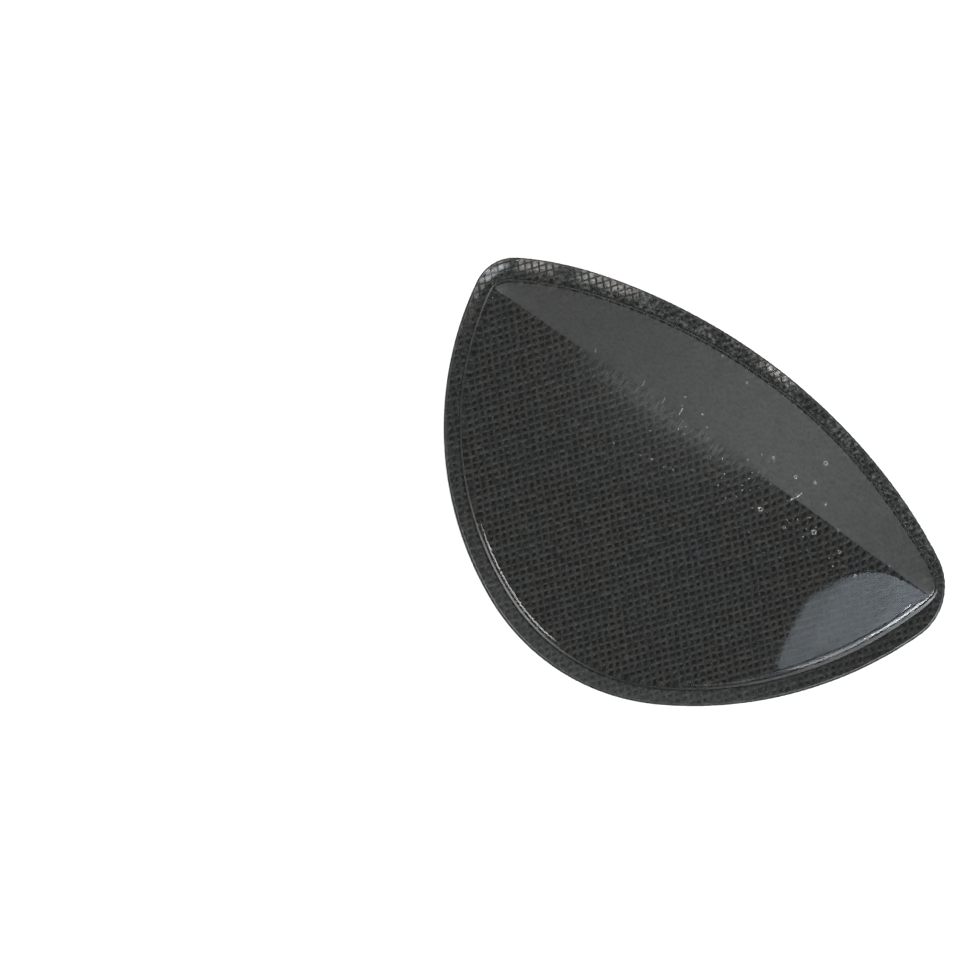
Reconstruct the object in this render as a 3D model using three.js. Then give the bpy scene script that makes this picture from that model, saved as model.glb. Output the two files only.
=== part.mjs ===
// Gel arch support for a shoe: a clear gel wedge cast on a mesh-backed velour cover.
// Millimetres, +Z up. It lies on its velour face, gel side up. The origin is on that face, at the
// middle of the pad's length and width. +X runs along the pad, +Y points to the instep edge.
import * as THREE from "three";

// Driving dimensions
const PAD_LENGTH = 85; // over the cut edge of the cover
const COVER_THICK = 1.0; // velour and its pile
const BACKING_THICK = 0.4; // open mesh under the gel
const LAYER_GAP = 0.1; // bond line between one layer and the next
const FLANGE_WIDTH = 2.4; // thin rim of gel around the wedge
const FLANGE_THICK = 0.6;
const GEL_EDGE_INSET = 0.2; // the fabric shows this far past the gel
const STEP_RISE = 1.1; // small wall between the rim and the wedge
const STEP_RUN = 0.8; // how far that wall leans in over its height
const RIDGE_RISE = 7.0; // crest of the wedge over the top of the wall
const RIDGE_FULLNESS = 0.7; // under 1 keeps the crest high nearer to the tips
const RIDGE_ROUND_MIDDLE = 2.4; // the crest is soft half-way along
const RIDGE_ROUND_TIP = 0.15; // and crisp at the tips
const GEL_TURN_DEG = 1.95; // the wedge was cast a little askew of the cut edge
const GEL_SHIFT = 0.37;

// The cut edge, counter-clockwise from the left end of the crest, as arcs that run into each other.
// The two flanks with no radius take the radius that closes the outline.
const START_HEADING_DEG = -98.6;
const OUTLINE_ARCS = [
  { side: "lower", stretch: "left tip below the crest", radius: 6.2, sweep: 20 },
  { side: "lower", stretch: "left flank", radius: null, sweep: 56 },
  { side: "lower", stretch: "round edge", radius: 32, sweep: 54 },
  { side: "lower", stretch: "right flank", radius: null, sweep: 40.5 },
  { side: "lower", stretch: "right tip below the crest", radius: 8.9, sweep: 39 },
  { side: "upper", stretch: "right tip above the crest", radius: 8.9, sweep: 43 },
  { side: "upper", stretch: "right shoulder", radius: 74.5, sweep: 10 },
  { side: "upper", stretch: "instep edge", radius: 89, sweep: 35.5 },
  { side: "upper", stretch: "left shoulder", radius: 48.5, sweep: 13.5 },
  { side: "upper", stretch: "left tip above the crest", radius: 6.2, sweep: 48.5 },
];

// Where the rim curls up off the surface it lies on. station runs once round the edge, from 0 at
// the left tip through 0.5 at the right tip.
const EDGE_CURLS = [
  { place: "left tip", station: 0.985, spread: 0.035, lift: 0.8 },
  { place: "left shoulder", station: 0.885, spread: 0.018, lift: 0.35 },
  { place: "instep edge", station: 0.745, spread: 0.02, lift: 0.3 },
];

// The wall between rim and wedge: a hollow foot, a leaning face and a round shoulder
const STEP_PROFILE = [
  { run: 0.25, rise: 0.1 },
  { run: 0.5, rise: 0.55 },
  { run: 0.7, rise: 0.88 },
  { run: 1.0, rise: 1.0 },
];

// Mesh density
const SIDE_SEGMENTS = 48; // along each side, tip to tip
const RIM_RINGS = 3; // between the cut edge and the foot of the wall
const LOWER_ROWS = [0.12, 0.3, 0.5, 0.68, 0.82, 0.91, 0.96]; // from the round edge up to the crest
const UPPER_ROWS = [0.12, 0.28, 0.5, 0.75]; // from the crest down to the instep edge

const radians = THREE.MathUtils.degToRad;

// Vector from the start to the end of an arc of radius 1
function unitChord(heading, sweep) {
  const end = heading + sweep;
  return new THREE.Vector2(Math.sin(end) - Math.sin(heading), Math.cos(heading) - Math.cos(end));
}

// The table with headings in radians and the two open radii filled in
function closedArcs() {
  let heading = radians(START_HEADING_DEG);
  const arcs = OUTLINE_ARCS.map((row) => {
    const arc = { side: row.side, radius: row.radius, heading, sweep: radians(row.sweep) };
    arc.chord = unitChord(arc.heading, arc.sweep);
    heading += arc.sweep;
    return arc;
  });
  const rest = new THREE.Vector2();
  for (const arc of arcs) {
    if (arc.radius !== null) rest.addScaledVector(arc.chord, arc.radius);
  }
  const [left, right] = arcs.filter((arc) => arc.radius === null);
  const determinant = left.chord.cross(right.chord);
  left.radius = -rest.cross(right.chord) / determinant;
  right.radius = rest.cross(left.chord) / determinant;
  return arcs;
}

// Same number of stations on each side, shared out half by length and half by turning, so that
// the tight tips get as many as the long edges
function stationsOf(arcs) {
  const stations = [];
  for (const side of ["lower", "upper"]) {
    const members = arcs.filter((arc) => arc.side === side);
    const length = members.reduce((sum, arc) => sum + arc.radius * arc.sweep, 0);
    const turning = members.reduce((sum, arc) => sum + arc.sweep, 0);
    let start = 0;
    const spans = members.map((arc) => {
      const share = (arc.radius * arc.sweep) / length / 2 + arc.sweep / turning / 2;
      const span = { arc, start, share };
      start += share;
      return span;
    });
    for (let i = 0; i < SIDE_SEGMENTS; i++) {
      const along = i / SIDE_SEGMENTS;
      const span = spans.findLast((each) => each.start <= along);
      stations.push({ arc: span.arc, fraction: (along - span.start) / span.share });
    }
  }
  return stations;
}

// Points of the outline moved inwards by inset, before it is scaled and centred
function rawLoop(arcs, stations, inset) {
  const start = new THREE.Vector2();
  const starts = new Map();
  for (const arc of arcs) {
    starts.set(arc, start.clone());
    start.addScaledVector(arc.chord, arc.radius);
  }
  return stations.map(({ arc, fraction }) => {
    const sweep = arc.sweep * fraction;
    const heading = arc.heading + sweep;
    const inward = new THREE.Vector2(-Math.sin(heading), Math.cos(heading));
    return starts
      .get(arc)
      .clone()
      .addScaledVector(unitChord(arc.heading, sweep), arc.radius)
      .addScaledVector(inward, inset);
  });
}

const arcs = closedArcs();
const stations = stationsOf(arcs);
const rawBox = new THREE.Box2().setFromPoints(rawLoop(arcs, stations, 0));
const rawCentre = rawBox.getCenter(new THREE.Vector2());
const scale = PAD_LENGTH / (rawBox.max.x - rawBox.min.x);

// A loop that follows the cut edge at a distance inside it
function edgeLoop(inset) {
  return rawLoop(arcs, stations, inset / scale).map((p) => p.sub(rawCentre).multiplyScalar(scale));
}

// The same, turned and shifted as the wedge is
function wedgeLoop(inset) {
  const centre = new THREE.Vector2();
  return edgeLoop(inset).map((p) => {
    p.rotateAround(centre, radians(GEL_TURN_DEG));
    p.x += GEL_SHIFT;
    return p;
  });
}

const footLoop = wedgeLoop(FLANGE_WIDTH);

// How far the cut edge lifts at a station
function curlAt(index) {
  const station = index / stations.length;
  return EDGE_CURLS.reduce((sum, curl) => {
    const straight = Math.abs(station - curl.station);
    const away = Math.min(straight, 1 - straight) / curl.spread;
    return sum + curl.lift * Math.exp(-away * away);
  }, 0);
}

// A ring of the rim: inwards is 0 at the given edge and 1 at the foot of the wall, which lies flat
function rimRing(edge, inwards, height) {
  const curled = (1 - inwards) ** 2;
  return edge.map((p, i) => {
    const plan = p.clone().lerp(footLoop[i], inwards);
    return new THREE.Vector3(plan.x, plan.y, height + curled * curlAt(i));
  });
}

// Rings of the rim from the foot of the wall out to the edge
function rimRings(edge, height) {
  const rings = [];
  for (let k = RIM_RINGS; k >= 0; k--) rings.push(rimRing(edge, k / RIM_RINGS, height));
  return rings;
}

// Closed surface through rings, each with the same stations, from the middle of the underside round
// the edge to the middle of the top. crossing(i) gives the points between the two sides at station
// i of the last ring, and none for a flat top.
function shell(rings, crossing = () => []) {
  const points = rings.flat();
  const triangles = [];
  const count = stations.length;
  const quad = (a, b, c, d) => triangles.push(a, b, c, a, c, d);
  for (let ring = 0; ring + 1 < rings.length; ring++) {
    for (let i = 0; i < count; i++) {
      const next = (i + 1) % count;
      const low = ring * count;
      const high = low + count;
      quad(low + i, low + next, high + next, high + i);
    }
  }
  // Columns that cross from the lower side to the upper one
  const columns = (first, between) => {
    const made = [];
    for (let i = 1; i < SIDE_SEGMENTS; i++) {
      const inner = between(i).map((p) => points.push(p) - 1);
      made.push([first + i, ...inner, first + count - i]);
    }
    return made;
  };
  const cover = (first, between, face) => {
    const made = columns(first, between);
    const last = made.length - 1;
    for (let k = 0; k + 1 < made[0].length; k++) {
      face(first, made[0][k], made[0][k + 1]);
      face(made[last][k], first + SIDE_SEGMENTS, made[last][k + 1]);
      for (let i = 0; i < last; i++) {
        face(made[i][k], made[i + 1][k], made[i + 1][k + 1]);
        face(made[i][k], made[i + 1][k + 1], made[i][k + 1]);
      }
    }
  };
  cover(0, () => [], (a, b, c) => triangles.push(a, c, b));
  cover((rings.length - 1) * count, crossing, (a, b, c) => triangles.push(a, b, c));

  const geometry = new THREE.BufferGeometry().setFromPoints(points).setIndex(triangles);
  geometry.computeVertexNormals();
  return geometry;
}

// A sheet of fabric under the whole pad
function sheetGeometry(bottom, thickness) {
  const edge = edgeLoop(0);
  return shell([...rimRings(edge, bottom), ...rimRings(edge, bottom + thickness).reverse()]);
}

// Height over the top of the wall, at a distance from the crest on one side of it. The two slopes
// meet in a rounded crest, and each reaches zero at its own edge.
function roofHeight(crest, round, away, width, otherWidth) {
  const slope = crest / width;
  const otherSlope = crest / otherWidth;
  const mean = (slope + otherSlope) / 2;
  const lean = (slope - otherSlope) / 2;
  const drop = (distance) => mean * Math.hypot(distance, round) + lean * distance;
  return crest - drop(away) - (crest - drop(width)) * (away / width);
}

function gelGeometry(bottom) {
  const edge = edgeLoop(GEL_EDGE_INSET);
  const top = bottom + FLANGE_THICK;
  const rings = [...rimRings(edge, bottom), ...rimRings(edge, top).reverse()];
  for (const { run, rise } of STEP_PROFILE) {
    const height = top + STEP_RISE * rise;
    const loop = wedgeLoop(FLANGE_WIDTH + STEP_RUN * run);
    rings.push(loop.map((p) => new THREE.Vector3(p.x, p.y, height)));
  }
  const rim = rings.at(-1);
  const leftTip = rim[0];
  const rightTip = rim[SIDE_SEGMENTS];
  const crestLine = new THREE.Vector3().subVectors(rightTip, leftTip);

  const crossing = (i) => {
    const lower = rim[i];
    const upper = rim[stations.length - i];
    const column = new THREE.Vector3().subVectors(upper, lower);
    // Where the column passes under the straight line of the crest
    const offset = new THREE.Vector3().subVectors(leftTip, lower);
    const determinant = column.x * crestLine.y - column.y * crestLine.x;
    const split = (offset.x * crestLine.y - offset.y * crestLine.x) / determinant;
    const along = (offset.x * column.y - offset.y * column.x) / determinant;
    const middle = 1 - (2 * along - 1) ** 2;
    const crest = RIDGE_RISE * middle ** RIDGE_FULLNESS;
    const round = RIDGE_ROUND_TIP + RIDGE_ROUND_MIDDLE * middle ** 2;
    const lowerWidth = column.length() * split;
    const upperWidth = column.length() * (1 - split);
    const at = (share, away, width, otherWidth) => {
      const point = lower.clone().addScaledVector(column, share);
      point.z += roofHeight(crest, round, away, width, otherWidth);
      return point;
    };
    const onLower = (row) => at(split * row, lowerWidth * (1 - row), lowerWidth, upperWidth);
    const onUpper = (row) =>
      at(split + (1 - split) * row, upperWidth * row, upperWidth, lowerWidth);
    return [...LOWER_ROWS.map(onLower), onUpper(0), ...UPPER_ROWS.map(onUpper)];
  };
  return shell(rings, crossing);
}

const velour = new THREE.MeshStandardMaterial({ color: 0x1e2022, roughness: 0.95, metalness: 0 });
const meshCloth = new THREE.MeshStandardMaterial({ color: 0x3b3a37, roughness: 0.7, metalness: 0 });
const clearGel = new THREE.MeshStandardMaterial({
  color: 0xd4d8d6,
  roughness: 0.1,
  metalness: 0,
  transparent: true,
  opacity: 0.35,
});

const backingBottom = COVER_THICK + LAYER_GAP;
const gelBottom = backingBottom + BACKING_THICK + LAYER_GAP;
const pieces = [
  { name: "velour_cover", geometry: sheetGeometry(0, COVER_THICK), material: velour },
  { name: "mesh_backing", geometry: sheetGeometry(backingBottom, BACKING_THICK), material: meshCloth },
  { name: "gel_pad", geometry: gelGeometry(gelBottom), material: clearGel },
];

const archSupport = new THREE.Group();
archSupport.name = "arch_support";
for (const { name, geometry, material } of pieces) {
  const mesh = new THREE.Mesh(geometry, material);
  mesh.name = name;
  archSupport.add(mesh);
}

export default archSupport;
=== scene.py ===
# %% [markdown]
# # Gel arch support
# This pad sticks into a shoe under the arch of the foot. It is a black velour cover, an open mesh
# bonded to the back of it, and a clear gel wedge cast onto the mesh. Here it lies on its velour,
# gel side up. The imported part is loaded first, because it fixes how long the pad is and where its
# layers lie.

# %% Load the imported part
import math
from collections import namedtuple

import bpy
import numpy as np
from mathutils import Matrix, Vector


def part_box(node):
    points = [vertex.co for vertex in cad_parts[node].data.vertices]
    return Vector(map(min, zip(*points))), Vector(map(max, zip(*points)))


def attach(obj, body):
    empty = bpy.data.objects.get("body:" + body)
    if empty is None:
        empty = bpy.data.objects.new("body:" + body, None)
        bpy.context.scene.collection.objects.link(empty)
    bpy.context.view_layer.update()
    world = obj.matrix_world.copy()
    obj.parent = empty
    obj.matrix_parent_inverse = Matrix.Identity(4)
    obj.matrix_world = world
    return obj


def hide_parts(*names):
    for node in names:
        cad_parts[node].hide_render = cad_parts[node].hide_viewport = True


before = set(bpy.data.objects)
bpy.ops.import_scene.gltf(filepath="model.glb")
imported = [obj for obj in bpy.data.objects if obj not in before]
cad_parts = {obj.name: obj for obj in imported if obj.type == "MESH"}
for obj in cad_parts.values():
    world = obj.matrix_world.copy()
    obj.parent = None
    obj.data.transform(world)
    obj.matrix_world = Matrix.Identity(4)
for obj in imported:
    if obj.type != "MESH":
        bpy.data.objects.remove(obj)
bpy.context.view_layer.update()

MM = 0.001


print("CAD pieces:", sorted(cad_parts))

# %% [markdown]
# ## The cut edge
# The fabric is cut to a half-moon. A maker would draw it with compasses, as arcs that run into each
# other, so it is a table of arcs here too. A plan point is a complex number: a step along heading h
# is exp(1j * h), and an arc is a sum of such steps, which has a short formula. Two flanks have no
# radius of their own: they get the one pair that makes the outline close.

# %% Draw the cut edge
Arc = namedtuple("Arc", "side stretch radius sweep")
OUTLINE_ARCS = [
    Arc("lower", "left tip below the crest", 6.2, 20.0),
    Arc("lower", "left flank", None, 56.0),
    Arc("lower", "round edge", 32.0, 54.0),
    Arc("lower", "right flank", None, 40.5),
    Arc("lower", "right tip below the crest", 8.9, 39.0),
    Arc("upper", "right tip above the crest", 8.9, 43.0),
    Arc("upper", "right shoulder", 74.5, 10.0),
    Arc("upper", "instep edge", 89.0, 35.5),
    Arc("upper", "left shoulder", 48.5, 13.5),
    Arc("upper", "left tip above the crest", 6.2, 48.5),
]
START_HEADING = math.radians(-98.6)

sweeps = np.radians([arc.sweep for arc in OUTLINE_ARCS])
headings = START_HEADING + np.concatenate(([0.0], np.cumsum(sweeps)[:-1]))
chords = (np.exp(1j * (headings + sweeps)) - np.exp(1j * headings)) / 1j
radii = np.array([np.nan if arc.radius is None else arc.radius for arc in OUTLINE_ARCS])
flanks = np.isnan(radii)
missing = -np.sum(radii[~flanks] * chords[~flanks])
sides = np.array([chords[flanks].real, chords[flanks].imag])
radii[flanks] = np.linalg.solve(sides, [missing.real, missing.imag])
arc_starts = np.concatenate(([0.0], np.cumsum(radii * chords)[:-1]))
print("flank radii in mm:", np.round(radii[flanks], 1))

# %% [markdown]
# ## Stations round the edge
# Every ring of every piece has the same stations, so that rings can be joined point to point. Both
# sides, from tip to tip, have equally many. Half of them are shared out by length and half by
# turning, so the tight tips stay as smooth as the long edges.

# %% Share out the stations
SIDE_SEGMENTS = 160


def share_stations(count):
    """The arc of each station, and how far along that arc it lies, from 0 to 1."""
    arcs, along = [], []
    for side in ("lower", "upper"):
        members = np.array([n for n, arc in enumerate(OUTLINE_ARCS) if arc.side == side])
        length, turning = radii[members] * sweeps[members], sweeps[members]
        shares = (length / length.sum() + turning / turning.sum()) / 2
        ends = np.cumsum(shares)
        wanted = np.arange(count) / count
        found = np.searchsorted(ends, wanted, side="right")
        arcs.append(members[found])
        along.append((wanted - ends[found] + shares[found]) / shares[found])
    return np.concatenate(arcs), np.concatenate(along)


station_arc, station_along = share_stations(SIDE_SEGMENTS)
STATIONS = len(station_arc)


def drawn_edge(inset):
    """The outline in mm, moved inwards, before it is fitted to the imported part."""
    start = headings[station_arc]
    here = start + sweeps[station_arc] * station_along
    swung = radii[station_arc] * (np.exp(1j * here) - np.exp(1j * start)) / 1j
    return arc_starts[station_arc] + swung + 1j * np.exp(1j * here) * inset


drawn = drawn_edge(0.0)
drawn_low = complex(drawn.real.min(), drawn.imag.min())
drawn_high = complex(drawn.real.max(), drawn.imag.max())
cover_low, cover_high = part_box("velour_cover")
fit = (cover_high.x - cover_low.x) / (drawn_high - drawn_low).real
print("stations:", STATIONS, " metres for a drawn mm:", round(fit, 6))

# %% [markdown]
# ## Widths of the rim and the wall
# Between the cut edge and the gel wedge lies a thin rim, and the wedge starts with a small wall. Both
# change in width on the way round: the rim is narrowest at the rounder tip, and the wall is widest just
# below it. An inset by hand keeps one width, so the widths are numbers for each station here, made of a
# value for each side and a few bell-shaped bumps.

# %% Widths at each station
LOWER_FLANGE, UPPER_FLANGE = 2.4 * MM, 2.2 * MM
Bump = namedtuple("Bump", "place station reach inwards")
FOOT_BUMPS = [
    Bump("right flank", 0.42, 0.045, 0.06 * MM),
    Bump("rounder tip", 0.5, 0.03, -0.75 * MM),
    Bump("right shoulder", 0.615, 0.055, 0.45 * MM),
]
WALL_WIDE = 1.65 * MM  # where it is widest
WALL_WIDEST, WALL_WIDEST_REACH = 0.415, 0.058  # that place, as shares of the way round
LOWER_WALL, UPPER_WALL = 0.65, 0.48  # shares of that width elsewhere
SIDE_CHANGE = 0.24  # how gently one side's width becomes the other's at the tips

station_share = np.arange(STATIONS) / STATIONS
lower_share = np.clip(0.5 + np.sin(2 * np.pi * station_share) / SIDE_CHANGE, 0, 1)


def bell(value, middle, reach, power=2):
    """1 at the middle, and close to 0 past its reach. A power of 4 makes the top flatter."""
    return np.exp(-(((value - middle) / reach) ** power))


foot_inset = UPPER_FLANGE + (LOWER_FLANGE - UPPER_FLANGE) * lower_share
for bump in FOOT_BUMPS:
    foot_inset += bump.inwards * bell(station_share, bump.station, bump.reach)
wall_share = UPPER_WALL + (LOWER_WALL - UPPER_WALL) * lower_share
wall_share += (1 - LOWER_WALL) * bell(station_share, WALL_WIDEST, WALL_WIDEST_REACH, 4)
print("rim from and to, in mm:", np.round([foot_inset.min() / MM, foot_inset.max() / MM], 2))
print("wall from and to, in mm:", np.round(WALL_WIDE / MM * np.sort(wall_share)[[0, -1]], 2))

# %% [markdown]
# ## Loops and curls
# The wedge was cast a little askew of the cut edge, so its loops are turned and shifted. The rim lies
# flat, but it curls up off the surface at the narrow tip and in three other places. Proportional editing
# could lift it by hand. Here each curl is a row in a table, because velour, mesh and gel all have to take
# the same lift to stay together.

# %% Loops and curls
GEL_TURN = math.radians(1.95)
GEL_SHIFT = 0.37 * MM
Curl = namedtuple("Curl", "place station spread lift power")
EDGE_CURLS = [
    Curl("left tip", 0.982, 0.055, 0.75 * MM, 1.4),
    Curl("left shoulder", 0.891, 0.015, 0.4 * MM, 2.0),
    Curl("instep edge by the left shoulder", 0.841, 0.022, 0.4 * MM, 2.0),
    Curl("middle of the instep edge", 0.733, 0.012, 0.35 * MM, 3.0),
]


def edge_loop(inset):
    """The cut edge moved inwards, in plan, in metres."""
    return (drawn_edge(inset / fit) - (drawn_low + drawn_high) / 2) * fit


def wedge_loop(run):
    """The foot of the wedge, moved inwards by a share of the wall, and turned as the wedge is."""
    return edge_loop(foot_inset + run * wall_share) * np.exp(1j * GEL_TURN) + GEL_SHIFT


def ring(plan, height):
    """Points at a height over a plan loop."""
    return np.column_stack([plan.real, plan.imag, np.broadcast_to(height, plan.shape)])


def curl_at(row, share):
    """How much of a curl there is at each share of the way round, from 0 to 1."""
    away = np.abs(share - row.station)
    return bell(np.minimum(away, 1 - away), 0, row.spread, 4)


def curl_lift(share, inwards):
    """How far the rim is lifted: inwards runs from the edge, 0, to the foot, 1."""
    return sum(row.lift * curl_at(row, share) * (1 - inwards) ** row.power for row in EDGE_CURLS)


cut_edge = edge_loop(0.0)
foot_loop = wedge_loop(0.0)


def rim_ring(edge, inwards, height):
    """A ring of the rim: inwards is 0 at the edge and 1 at the foot of the wedge, which lies flat."""
    return ring(edge + (foot_loop - edge) * inwards, height + curl_lift(station_share, inwards))


print("highest curl in mm:", round(curl_lift(station_share, 0.0).max() / MM, 2))

# %% [markdown]
# ## Reading and writing a mesh
# An operator changes what is selected, but it can't place hundreds of vertices one by one. Arrays can.
# These small helpers read the places and the selection of a mesh as arrays, write places back, and mark
# points with attributes, which a later step or a material reads.

# %% Helpers for meshes
def read(mesh, name, kind=np.float32):
    """A point attribute of a mesh as an array."""
    values = np.empty(len(mesh.vertices), kind)
    mesh.attributes[name].data.foreach_get("value", values)
    return values


def mark(mesh, name, values):
    """Adds a point attribute, of whole numbers or of floats as its values are."""
    whole = np.issubdtype(values.dtype, np.integer)
    attribute = mesh.attributes.new(name, "INT" if whole else "FLOAT", "POINT")
    attribute.data.foreach_set("value", values.astype(np.int32 if whole else np.float32))


def places_of(mesh):
    """The vertices' places as rows of x, y and z."""
    places = np.empty(len(mesh.vertices) * 3, np.float32)
    mesh.vertices.foreach_get("co", places)
    return places.reshape(-1, 3)


def put_places(mesh, places):
    """Moves every vertex to its row of x, y and z."""
    mesh.vertices.foreach_set("co", places.astype(np.float32).ravel())


def chosen_in(mesh):
    """True for each selected vertex."""
    chosen = np.empty(len(mesh.vertices), bool)
    mesh.vertices.foreach_get("select", chosen)
    return chosen


def name_new(name):
    """Names the object that an operator has just added."""
    piece = bpy.context.object
    piece.name = piece.data.name = name
    return piece


print("vertices of the packed gel:", len(places_of(bpy.data.objects["gel_pad"].data)))

# %% [markdown]
# ## Modelling ring by ring
# A rim, a rounded edge or a small wall is a row of edges pulled out again and again. By hand one would
# extrude the open edge and move the new loop into place. These helpers do that: each vertex remembers
# its station in an attribute, which Extrude copies, so a new loop can be stood on any ring.

# %% Helpers for extruding loops
def stand_selected(piece, points, **marks):
    """Moves the selected vertices to their stations on a ring, and changes their attributes."""
    bpy.ops.object.mode_set(mode="OBJECT")
    mesh = piece.data
    chosen = chosen_in(mesh)
    places = places_of(mesh)
    stations = read(mesh, "station", np.int32)[chosen]
    places[chosen] = points[stations]
    put_places(mesh, places)
    for name, value in marks.items():
        values = read(mesh, name)
        values[chosen] = np.broadcast_to(value, STATIONS)[stations]
        mesh.attributes[name].data.foreach_set("value", values)
    mesh.update()
    bpy.ops.object.mode_set(mode="EDIT")


def pull_out(piece, points, **marks):
    """Extrudes the selected loop and stands the new one on a ring."""
    bpy.ops.mesh.extrude_edges_move()
    stand_selected(piece, points, **marks)


def finish_piece(piece, smooth_angle):
    """Recalculates the normals, shades the piece and leaves it in object mode."""
    bpy.ops.mesh.select_all(action="SELECT")
    bpy.ops.mesh.normals_make_consistent(inside=False)
    bpy.ops.object.mode_set(mode="OBJECT")
    bpy.ops.object.shade_smooth_by_angle(angle=math.radians(smooth_angle))
    piece.data.calc_loop_triangles()
    print(piece.name, "triangles:", len(piece.data.loop_triangles))


print("points on each ring:", len(ring(cut_edge, 0.0)))

# %% [markdown]
# ## Velour cover
# A sheet of velour about 1 mm thick, pile side down. It could be a plane with Solidify, but the curled
# rim and the soft lower edge, where the pile rounds over, need rings of their own. So it starts as a
# filled circle with a vertex for each station, is set on the foot of the wedge, and is pulled out along
# the underside, up the cut edge and back in over the top. The top is marked as bonded, for its glue.

# %% Model the velour cover
COVER_THICK = 1.0 * MM
PILE_ROUND = 0.35 * MM
RIM_RINGS = 6
ROUND_STEPS = 4

bpy.ops.object.select_all(action="DESELECT")
bpy.ops.mesh.primitive_circle_add(vertices=STATIONS, radius=PILE_ROUND, fill_type="NGON")
cover = name_new("velour_sheet")
mark(cover.data, "station", np.arange(STATIONS))
mark(cover.data, "bonded", np.zeros(STATIONS))
bpy.ops.object.mode_set(mode="EDIT")
bpy.ops.mesh.select_all(action="SELECT")
stand_selected(cover, ring(foot_loop, 0.0))
for k in range(RIM_RINGS):
    pull_out(cover, rim_ring(edge_loop(PILE_ROUND), 1 - (k + 1) / RIM_RINGS, 0.0))
for angle in np.linspace(0, math.pi / 2, ROUND_STEPS + 1)[1:]:
    inset = PILE_ROUND * (1 - math.sin(angle))
    pull_out(cover, rim_ring(edge_loop(inset), 0.0, PILE_ROUND * (1 - math.cos(angle))))
for k in range(RIM_RINGS + 1):
    pull_out(cover, rim_ring(cut_edge, k / RIM_RINGS, COVER_THICK), bonded=1.0)
bpy.ops.mesh.edge_face_add()
finish_piece(cover, smooth_angle=40)

# %% [markdown]
# ## Mesh backing
# Two families of yarn cross about once a millimetre, over and under in turn. They are not quite square
# to each other, and one of them looks lighter. One wave of one yarn is modelled from a ring of a few
# vertices, extruded up and down. Array modifiers repeat it along its length and across the pad, and the
# copies are one joined mesh. The other family is made the same way, half a wave out of step.

# %% Spacing of the yarns
Yarns = namedtuple("Yarns", "name heading step other_step start wide lit")
YARN_PITCH_A, YARN_PITCH_B = 1.007 * MM, 1.025 * MM
YARN_HEADING_A, YARN_HEADING_B = math.radians(54.0), math.radians(133.9)
YARN_WIDTH_A, YARN_WIDTH_B = 0.46 * MM, 0.44 * MM

skew = math.sin(YARN_HEADING_B - YARN_HEADING_A)
step_a, step_b = YARN_PITCH_B / skew, YARN_PITCH_A / skew
along_a, along_b = step_a * np.exp(1j * YARN_HEADING_A), step_b * np.exp(1j * YARN_HEADING_B)
FAMILIES = [
    Yarns("yarns_a", YARN_HEADING_A, along_a, along_b, 0, YARN_WIDTH_A, 1.14),
    Yarns("yarns_b", YARN_HEADING_B, along_b, along_a, 1, YARN_WIDTH_B, 0.9),
]
print("from crossing to crossing in mm:", round(step_a / MM, 3), round(step_b / MM, 3))

# %% Model one yarn and array it
YARN_THICK = 0.24 * MM
YARN_SIDES = 4
YARN_SWING = 0.05 * MM
YARN_LEVEL = 0.2 * MM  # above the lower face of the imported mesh
NET_REACH = 104 * MM

net_low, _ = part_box("mesh_backing")
net_level = net_low.z + YARN_LEVEL


def repeat(piece, count, offset, merge=False):
    """Adds and applies an Array modifier with a fixed offset in plan."""
    array = piece.modifiers.new("repeat", "ARRAY")
    array.count = count
    array.use_relative_offset = False
    array.use_constant_offset = True
    array.constant_offset_displace = (offset.real, offset.imag, 0.0)
    array.use_merge_vertices = merge
    array.merge_threshold = YARN_THICK / 100
    bpy.ops.object.modifier_apply(modifier=array.name)


def yarn_family(yarns):
    """One wave of yarn, extruded by hand, and repeated over the whole pad."""
    bpy.ops.object.select_all(action="DESELECT")
    turn = (0.0, math.pi / 2, yarns.heading)
    bpy.ops.mesh.primitive_circle_add(vertices=YARN_SIDES, radius=yarns.wide / 2, rotation=turn)
    piece = name_new(yarns.name)
    bpy.ops.object.transform_apply(location=False, rotation=True, scale=False)
    bpy.ops.object.mode_set(mode="EDIT")
    bpy.ops.mesh.select_all(action="SELECT")
    bpy.ops.transform.resize(value=(1.0, 1.0, YARN_THICK / yarns.wide))
    quarter = yarns.step / 2
    for fall in (-1, -1, 1, 1):
        move = (quarter.real, quarter.imag, fall * YARN_SWING)
        bpy.ops.mesh.extrude_edges_move(TRANSFORM_OT_translate={"value": move})
    bpy.ops.object.mode_set(mode="OBJECT")
    waves = int(NET_REACH / abs(2 * yarns.step)) + 1
    pairs = int(NET_REACH / abs(2 * yarns.other_step)) + 1
    repeat(piece, waves, 2 * yarns.step, merge=True)
    repeat(piece, 2, yarns.other_step + yarns.step)
    repeat(piece, pairs, 2 * yarns.other_step)
    shift = -(waves // 2) * 2 * yarns.step - (pairs // 2) * 2 * yarns.other_step
    shift += yarns.start * yarns.step
    piece.location = (shift.real, shift.imag, net_level + YARN_SWING)
    bpy.ops.object.transform_apply(location=True, rotation=False, scale=False)
    print(yarns.name, "waves:", waves, " yarns:", 2 * pairs, " vertices:", len(piece.data.vertices))
    return piece


families = [yarn_family(yarns) for yarns in FAMILIES]

# %% [markdown]
# ## Loose yarns
# Woven yarns are never quite straight or even. A Displace modifier would push every vertex by itself and
# crumple the thin tubes. So a smooth random value is worked out on the middle line of each yarn, as a sum
# of waves with a fixed seed, and each ring of the tube is shifted and widened by it as one.

# %% Helpers to loosen the yarns
WANDER, WIDTH_CHANGE = 0.05 * MM, 0.2
WANDER_WAVES, WANDER_LENGTHS = 12, (1.6 * MM, 6.0 * MM)
WANDER_SEED = 3
chance = np.random.default_rng(WANDER_SEED)


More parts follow.
